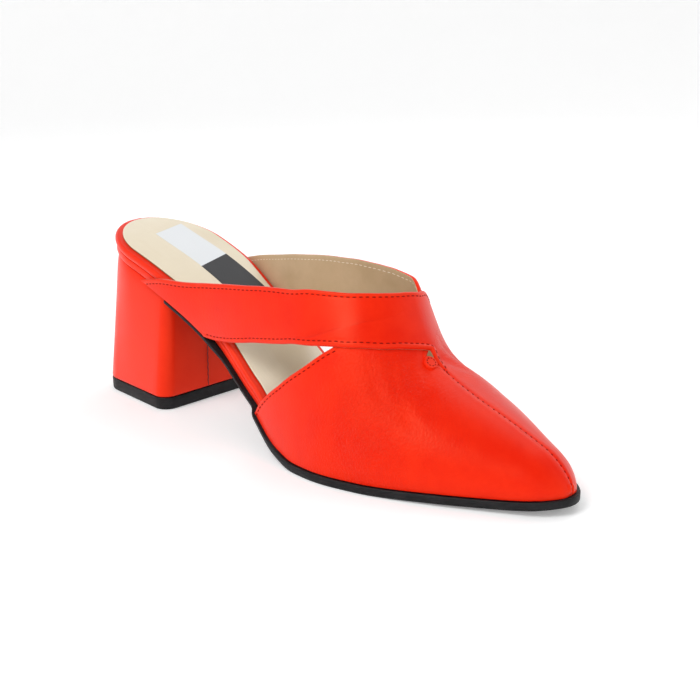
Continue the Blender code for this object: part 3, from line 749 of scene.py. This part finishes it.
def place_on(edge, share):
    """A place on a smooth line through an edge's rows, at a share of its length."""
    reach = [0.0]
    for (a0, r0), (a1, r1) in zip(edge, edge[1:]):
        reach.append(reach[-1] + math.hypot(a1 - a0, AROUND_WEIGHT * (r1 - r0)))
    table = [(s / reach[-1], at, around) for s, (at, around) in zip(reach, edge)]
    if share <= 0:
        return edge[0]
    if share >= 1:
        return edge[-1]
    return (smooth(table, 1, share), smooth(table, 2, share))


def places(edge, shares):
    return [place_on(edge, s) for s in shares]


def patch(near, far, left, right, us, vs):
    """A grid of places between four edges. near and far run from left to right."""
    near, far, left, right = (np.array(line) for line in (near, far, left, right))
    u = us[None, :, None]
    v = vs[:, None, None]
    sides = (1 - u) * left[:, None] + u * right[:, None]
    ends = (1 - v) * near[None] + v * far[None]
    near_corners = (1 - v) * ((1 - u) * near[0] + u * near[-1])
    far_corners = v * ((1 - u) * far[0] + u * far[-1])
    return sides + ends - near_corners - far_corners


# Shares of an edge at which the grids have their lines: closest at the folded edges.
close = np.array([0, 0.006, 0.013, 0.022, 0.033, 0.046, 0.062, 0.082, 0.108])
across = np.concatenate([close, np.linspace(0.138, 0.862, 26), 1 - close[::-1]])
down = np.linspace(0, 1, 61)
wall = np.linspace(0, 1, 29)
girth = np.concatenate([7 * wall, 7 + 8 * across[1:]]) / 15
cross = patch(
    places(A_CROSS_FRONT, across), places(A_CROSS_BACK, across),
    places(B_CROSS_BACK, 1 - across), places(B_CROSS_FRONT, 1 - across), across, across,
)
slot = SLOT_LENGTH / LENGTH / (LAST_END / LENGTH - KEYHOLE[0])
in_slot = slot * np.array([0, 0.05, 0.11, 0.18, 0.27, 0.38, 0.5, 0.62, 0.75, 0.88])
step = np.linspace(0, 1, 71)
ahead = slot + (1 - slot) * (0.35 * step + 0.65 * (1 - (1 - step) ** 2))
ahead = np.concatenate([in_slot, ahead])


def vamp(rear_edge, cross_edge, side, opened):
    """Half of the vamp: rows run from the feather edge to the seam, and go from back to toe.

    At the keyhole the half's own edge is drawn back from the seam's line, by opened at most.
    """
    rear = np.array(places(rear_edge, wall)[::-1] + places(cross_edge, across)[1:])
    grid = []
    for share in ahead:
        turned = rear[:, 1] + (side * (1 - girth) - rear[:, 1]) * ease(share / 0.35)
        wide = side * opened * math.sin(math.pi * min(share / slot, 1.0) ** 0.8)
        turned += wide * np.clip(1 - np.abs(turned) / 0.3, 0, 1)
        grid.append(np.stack([rear[:, 0] + (LAST_END / LENGTH - rear[:, 0]) * share, turned], 1))
    return np.array(grid)


def strap(cross_line, front, back, side):
    """A strap from the crossing down to the feather edge, across its width and down."""
    foot = np.array([(front[-1][0], side), (back[-1][0], side)])
    far = foot[0] + (foot[1] - foot[0]) * across[:, None]
    return patch(cross_line, far, places(front, down), places(back, down), across, down)


# Dents and soft folds of the leather, listed one by one.
FOLDS = (
    # at, around, half length, half width (shares), turned by (degrees), depth in metres
    (0.560, -0.550, 0.034, 0.045, 30.0, 0.00020),
    (0.590, -0.470, 0.030, 0.040, -35.0, 0.00016),
    (0.745, -0.150, 0.030, 0.018, 120.0, 0.00070),
    (0.740, -0.260, 0.028, 0.016, 128.0, 0.00062),
    (0.728, -0.360, 0.026, 0.016, 140.0, 0.00054),
    (0.715, -0.480, 0.026, 0.020, 150.0, 0.00062),
    (0.690, -0.620, 0.022, 0.020, 160.0, 0.00035),
    (0.780, -0.330, 0.024, 0.022, 115.0, 0.00054),
    (0.770, -0.520, 0.022, 0.024, 135.0, 0.00054),
    (0.735, -0.700, 0.022, 0.026, 150.0, 0.00046),
    (0.750, 0.150, 0.030, 0.018, 60.0, 0.00062),
    (0.735, 0.330, 0.026, 0.018, 45.0, 0.00054),
    (0.705, 0.520, 0.024, 0.022, 30.0, 0.00054),
    (0.600, 0.520, 0.030, 0.040, -20.0, 0.00020),
)


def folds(at, around):
    """How deep the listed folds are, in metres."""
    depth = np.zeros(len(at))
    for a, r, long, wide, turned, deep in FOLDS:
        c, s = math.cos(math.radians(turned)), math.sin(math.radians(turned))
        u = (at - a) * c + (around - r) * AROUND_WEIGHT * s
        v = -(at - a) * s + (around - r) * AROUND_WEIGHT * c
        depth += deep * np.exp(-(u / long) ** 2 - (v / (wide * 0.5)) ** 2)
    return depth


# The lining is matt, with fine grain and faint clouds.
beige, shader, tree, add = surface("beige_lining", (0.74, 0.58, 0.38), 0.55)
where = add("ShaderNodeTexCoord").outputs["Object"]
cloud = add("ShaderNodeTexNoise", {"Vector": where, "Scale": 55.0, "Detail": 5.0, "Roughness": 0.6})
tone = ramp(add, cloud.outputs["Fac"], (0.3, (0.50, 0.35, 0.20)), (0.7, (0.61, 0.44, 0.27)))
tree.links.new(tone, shader.inputs["Base Color"])
grain = add("ShaderNodeTexNoise", {"Vector": where, "Scale": 900.0, "Detail": 3.0})
tree.links.new(relief(add, grain.outputs["Fac"], 0.25, 0.0002), shader.inputs["Normal"])
FOLD_RADIUS = 0.0009
LINING_SHARE = 0.30
SEAM_DEPTH, SEAM_WIDTH = 0.00020, 0.00040
SEAM_START = KEYHOLE[0] + SLOT_LENGTH / LENGTH - 0.0001


def hump(distance, at, width, height):
    return height * np.exp(-(((distance - at) / width) ** 2))


def make_piece(name, grids, lifts):
    """One leather piece of the upper with its lining and folded edges, as a closed shell."""
    index, spots, lift, home, faces = {}, [], [], [], []
    for patch_name, grid in grids:
        rows, columns = grid.shape[:2]
        ids = np.zeros((rows, columns), int)
        for j in range(rows):
            for i in range(columns):
                a, r = grid[j, i]
                key = (round(a, 6), 0.0 if a > TIP else round(r, 6))
                if key not in index:
                    index[key] = len(spots)
                    spots.append((a, r))
                    lift.append(lifts[patch_name][j, i])
                    home.append(1.0 if patch_name == "vamp" else 0.0)
                ids[j, i] = index[key]
        for j in range(rows - 1):
            for i in range(columns - 1):
                ring = [ids[j, i], ids[j, i + 1], ids[j + 1, i + 1], ids[j + 1, i]]
                faces.append([v for k, v in enumerate(ring) if v != ring[k - 1]])
    spots, lift = np.array(spots), np.array(lift)
    at, around = spots[:, 0], spots[:, 1]
    inner = last_points(at, around)
    normal = last_normals(at, around)

    # The border of the sheet, and how far each vertex lies from its folded edges and the seam.
    uses = {}
    for ring in faces:
        for a, b in zip(ring, ring[1:] + ring[:1]):
            uses.setdefault(frozenset((a, b)), []).append((a, b))
    border = [pairs[0] for pairs in uses.values() if len(pairs) == 1]
    sewn = (np.abs(around) < 1e-6) & (at > SEAM_START)
    feather = np.abs(around) > 0.999
    free = [(a, b) for a, b in border if not (sewn[a] and sewn[b]) and not (feather[a] and feather[b])]
    tree = KDTree(len(free) * 4)
    for n, (a, b) in enumerate(free):
        for k in range(4):
            tree.insert(Vector(inner[a] + (inner[b] - inner[a]) * k / 4), n * 4 + k)
    tree.balance()
    edge = np.array([tree.find(Vector(p))[2] for p in inner])
    seam = np.abs(around) * 0.9 * np.interp(at, fine, sections[1]) * INSTEP_HEIGHT
    seam_reach = np.hypot(seam, np.maximum(SEAM_START - at, 0) * LENGTH)
    seam = np.where(at > SEAM_START - 0.004, seam_reach, 0.05)

    # The heights of both faces of the leather over the last, and how much it is wrinkled.
    roll = FOLD_RADIUS * (1 - np.sqrt(1 - np.clip(1 - edge / FOLD_RADIUS, 0, 1) ** 2))
    plump = hump(edge, 0.0010, 0.0005, 0.00012) - hump(edge, 0.0021, 0.0004, 0.00012)
    groove = hump(seam, 0.0, SEAM_WIDTH, SEAM_DEPTH) - hump(seam, 0.0012, 0.0007, 0.00010)
    dents = folds(at, around) * np.clip(edge / 0.003, 0, 1)
    outer_height = lift * WALL + WALL - roll + plump - groove - dents
    inner_height = lift * (WALL + 0.00005) + 0.3 * np.minimum(roll, 0.0003)
    flex = np.exp(-(((at - 0.72) / 0.07) ** 2)) * np.clip(np.abs(around) * 3.0, 0.3, 1.0)
    wrinkled = 0.10 + 0.90 * flex * np.array(home) * np.clip(edge / 0.006, 0, 1)

    mesh = bmesh.new()
    edge_layer = mesh.verts.layers.float.new("edge")
    crease_layer = mesh.verts.layers.float.new("crease")
    layers = []
    for level, height in enumerate((inner_height, outer_height)):
        points = inner + normal * height[:, None]
        points[feather, 2] = seat(points[feather, 0]) + GAP
        layer = []
        for k, p in enumerate(points):
            v = mesh.verts.new(p)
            v[edge_layer] = edge[k] if level else 0.0
            v[crease_layer] = wrinkled[k]
            layer.append(v)
        layers.append(layer)
    inside, outside = layers
    for ring in faces:
        face = mesh.faces.new([inside[v] for v in ring[::-1]])
        face.material_index = 1
        mesh.faces.new([outside[v] for v in ring])
    middle = {}
    for k in sorted({v for pair in border for v in pair}):
        v = mesh.verts.new(inside[k].co.lerp(outside[k].co, LINING_SHARE))
        v[crease_layer] = 0.1
        middle[k] = v
    for a, b in border:
        face = mesh.faces.new([inside[a], inside[b], middle[b], middle[a]])
        face.material_index = 1
        mesh.faces.new([middle[a], middle[b], outside[b], outside[a]])
    bmesh.ops.recalc_face_normals(mesh, faces=mesh.faces)
    skin_tree = BVHTree.FromBMesh(mesh)
    link(name, mesh, [red, beige], "upper")
    return skin_tree


a_vamp = vamp(A_VAMP_BACK, B_CROSS_FRONT, 1.0, opened=0.006)
b_vamp = vamp(B_VAMP_BACK, A_CROSS_FRONT, -1.0, opened=0.050)
a_strap = strap(cross[:, 0], A_STRAP_FRONT, A_STRAP_BACK, -1.0)
b_strap = strap(cross[-1][::-1], B_STRAP_FRONT, B_STRAP_BACK, 1.0)

# How far A is raised over B, as shares of the leather's thickness: fully over the crossing, and
# less and less along the strap, down the side, at the seam and towards the toe.
climb = ease(np.concatenate([wall, np.ones(len(across) - 1)]))[None]
beyond = np.clip((np.arange(len(ahead)) - 10) / 70, 0, 1)
at_seam = (1 - ease(np.clip(ahead / slot, 0, None)))[:, None]
sinking = (1 - ease(beyond / 0.30))[:, None]
raised = {
    "vamp": climb * (at_seam + (sinking - at_seam) * ease((1 - girth)[None] / 0.4)),
    "strap": np.repeat((1 - ease(down / 0.5))[:, None], len(across), axis=1),
    "cross": np.ones(cross.shape[:2]),
}
level = {key: value * 0 for key, value in raised.items()}
tree_b = make_piece("strap_under", (("vamp", b_vamp), ("cross", cross), ("strap", b_strap)), level)
tree_a = make_piece("strap_over", (("vamp", a_vamp), ("cross", cross), ("strap", a_strap)), raised)

# Edge stitches. Dark red thread in one row along each folded edge of the upper. It holds the
# leather and the lining together. Geometry Nodes lay a bead for each stitch along the rows.
EDGE_INSET = 0.0019
STITCH_STEP = 0.0024
THREAD_SINK = 0.00002


def stitch_rows(name, lines, spacing, length, radius, colour):
    """Thread beads at even steps along lines of points."""
    mesh = bmesh.new()
    for line in lines:
        verts = [mesh.verts.new(p) for p in line]
        for a, b in zip(verts, verts[1:]):
            mesh.edges.new((a, b))
    guide_data = bpy.data.meshes.new(name + "_guide")
    mesh.to_mesh(guide_data)
    mesh.free()
    guide = bpy.data.objects.new(name + "_guide", guide_data)
    bpy.context.collection.objects.link(guide)
    thread, shader, tree, add = surface(name + "_thread", colour, 0.8)
    shader.inputs["Specular IOR Level"].default_value = 0.1
    where = add("ShaderNodeTexCoord").outputs["Object"]
    twist = add("ShaderNodeTexNoise", {"Vector": where, "Scale": 3000.0})
    tree.links.new(relief(add, twist.outputs["Fac"], 0.3, 0.0001), shader.inputs["Normal"])
    group = bpy.data.node_groups.new(name, "GeometryNodeTree")
    group.interface.new_socket("Geometry", in_out="INPUT", socket_type="NodeSocketGeometry")
    for label, value in (("Spacing", spacing), ("Length", length), ("Radius", radius)):
        socket = group.interface.new_socket(label, in_out="INPUT", socket_type="NodeSocketFloat")
        socket.default_value = value
    group.interface.new_socket("Geometry", in_out="OUTPUT", socket_type="NodeSocketGeometry")
    new, join = group.nodes.new, group.links.new
    given, result = new("NodeGroupInput"), new("NodeGroupOutput")
    curve = new("GeometryNodeMeshToCurve")
    join(given.outputs["Geometry"], curve.inputs["Mesh"])
    even = new("GeometryNodeResampleCurve")
    even.mode = "LENGTH"
    join(curve.outputs["Curve"], even.inputs["Curve"])
    join(given.outputs["Spacing"], even.inputs["Length"])
    bead = new("GeometryNodeMeshUVSphere")
    bead.inputs["Segments"].default_value = 8
    bead.inputs["Rings"].default_value = 5
    join(given.outputs["Radius"], bead.inputs["Radius"])
    shape = new("ShaderNodeCombineXYZ")
    ratio = new("ShaderNodeMath")
    ratio.operation = "DIVIDE"
    join(given.outputs["Length"], ratio.inputs[0])
    join(given.outputs["Radius"], ratio.inputs[1])
    half = new("ShaderNodeMath")
    half.operation = "MULTIPLY"
    half.inputs[1].default_value = 0.5
    join(ratio.outputs[0], half.inputs[0])
    shape.inputs["X"].default_value = 1.0
    shape.inputs["Y"].default_value = 1.0
    join(half.outputs[0], shape.inputs["Z"])
    stretch = new("GeometryNodeTransform")
    join(bead.outputs["Mesh"], stretch.inputs["Geometry"])
    join(shape.outputs["Vector"], stretch.inputs["Scale"])
    tangent = new("GeometryNodeInputTangent")
    turned = new("FunctionNodeAlignRotationToVector")
    turned.axis = "Z"
    join(tangent.outputs["Tangent"], turned.inputs["Vector"])
    spread = new("GeometryNodeInstanceOnPoints")
    join(even.outputs["Curve"], spread.inputs["Points"])
    join(stretch.outputs["Geometry"], spread.inputs["Instance"])
    join(turned.outputs["Rotation"], spread.inputs["Rotation"])
    real = new("GeometryNodeRealizeInstances")
    join(spread.outputs["Instances"], real.inputs["Geometry"])
    paint = new("GeometryNodeSetMaterial")
    paint.inputs["Material"].default_value = thread
    join(real.outputs["Geometry"], paint.inputs["Geometry"])
    join(paint.outputs["Geometry"], result.inputs["Geometry"])
    modifier = guide.modifiers.new(name, "NODES")
    modifier.node_group = group
    bpy.context.view_layer.update()
    ready = guide.evaluated_get(bpy.context.evaluated_depsgraph_get())
    data = bpy.data.meshes.new_from_object(ready)
    data.name = name
    bpy.data.objects.remove(guide)
    piece = bpy.data.objects.new(name, data)
    bpy.context.collection.objects.link(piece)
    data.shade_smooth()
    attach(piece, "root")


def beside(edges, depth, tree, inside, from_inside=False):
    """A line at a depth from an edge of places, dropped on the surface of a piece."""
    run = []
    for edge in edges:
        part = np.array(places(edge, np.linspace(0, 1, 60)))
        run.append(part if not run else part[1:])
    run = np.concatenate(run)
    run = run[np.abs(run[:, 1]) < 0.985]
    p = last_points(run[:, 0], run[:, 1])
    n = last_normals(run[:, 0], run[:, 1])
    t = np.gradient(p, axis=0)
    t /= np.linalg.norm(t, axis=1)[:, None]
    moved = p + np.cross(n, t) * inside * depth
    kept = []
    for m, direction in zip(moved, n):
        away = Vector(-direction if from_inside else direction)
        start = Vector(m) + away * 0.006
        hit = tree.ray_cast(start, -away, 0.012)
        if hit[0] is None:
            continue
        spot = hit[0] - away * THREAD_SINK
        kept.append((spot.x - MIDDLE, spot.y, spot.z))
    return kept


dark_thread = (0.26, 0.004, 0.001)
keyhole_side = (KEYHOLE, (KEYHOLE[0] + 0.0050 / LENGTH, 0.0), (KEYHOLE[0] + 0.0080 / LENGTH, -0.030))
rows = [
    beside((A_STRAP_BACK[::-1], A_CROSS_BACK, A_VAMP_BACK), EDGE_INSET, tree_a, -1),
    beside((A_STRAP_FRONT[::-1], A_CROSS_FRONT, keyhole_side), EDGE_INSET, tree_a, 1),
    beside((B_VAMP_BACK,), EDGE_INSET, tree_b, 1),
    beside((B_STRAP_FRONT[::-1],), EDGE_INSET, tree_b, -1),
    beside((B_STRAP_BACK,), EDGE_INSET, tree_b, -1),
]
stitch_rows("edge_stitches", rows, STITCH_STEP, length=0.0016, radius=0.00024, colour=dark_thread)

# Keyhole tab. The lower piece of red leather ends in a small half round tab at the keyhole's
# front end, which is sewn down beside the seam.
TAB_AHEAD = 0.0035
TAB_AROUND = -0.060
AROUND_SIZE = 0.048
TAB_PROFILE = (
    # radius, height over the last
    (0.00235, 0.0012), (0.00232, 0.0019), (0.0021, 0.0023), (0.0016, 0.00228), (0.0008, 0.0023),
)


def tab_points(radius, angles, height):
    at = KEYHOLE[0] + (TAB_AHEAD - radius * np.cos(angles)) / LENGTH
    around = TAB_AROUND + radius * np.sin(angles) / AROUND_SIZE
    point = last_points(at, around) + last_normals(at, around) * height
    return [(x, y, z) for x, y, z in point]


angles = np.linspace(0, math.tau, 41)[:-1]
mesh = bmesh.new()
rows = [[mesh.verts.new(p) for p in tab_points(radius, angles, height)] for radius, height in TAB_PROFILE]
skin(mesh, rows)
mesh.faces.new(rows[-1])
mesh.faces.new(rows[0][::-1])
bmesh.ops.recalc_face_normals(mesh, faces=mesh.faces)
link("keyhole_tab", mesh, [red])

# Tab stitches. The same dark thread, in a small ring of close stitches that holds the tab down
# on the vamp.
ring = [(x - MIDDLE, y, z) for x, y, z in tab_points(0.0015, np.linspace(0, math.tau, 60), 0.00232)]
stitch_rows("tab_stitches", [ring], 0.0012, length=0.0008, radius=0.00018, colour=dark_thread)

# Lining stitches. The same rows seen from inside both straps under the collar's edge, where the
# lower thread is pale, like the lining.
pale_rows = [
    beside((B_STRAP_BACK,), 0.0021, tree_b, -1, True),
    beside((A_STRAP_BACK[::-1],), 0.0021, tree_a, -1, True),
]
pale_thread = (0.80, 0.72, 0.58)
stitch_rows("lining_stitches", pale_rows, STITCH_STEP, length=0.0017, radius=0.00016, colour=pale_thread)

# Seam stitches. Dark thread that joins the halves of the vamp and shows as dots in the groove
# from the keyhole to the toe.
DOT_DEPTH = 0.00018
seam_at = np.linspace(KEYHOLE[0] + 0.0075 / LENGTH, LAST_END / LENGTH - 0.004, 90)
middle_line = np.zeros(len(seam_at))
dots = last_points(seam_at, middle_line) + last_normals(seam_at, middle_line) * (WALL - DOT_DEPTH)
dots = [(x - MIDDLE, y, z) for x, y, z in dots]
seam_thread = (0.20, 0.004, 0.001)
stitch_rows("seam_stitches", [dots], STITCH_STEP, length=0.0009, radius=0.00019, colour=seam_thread)
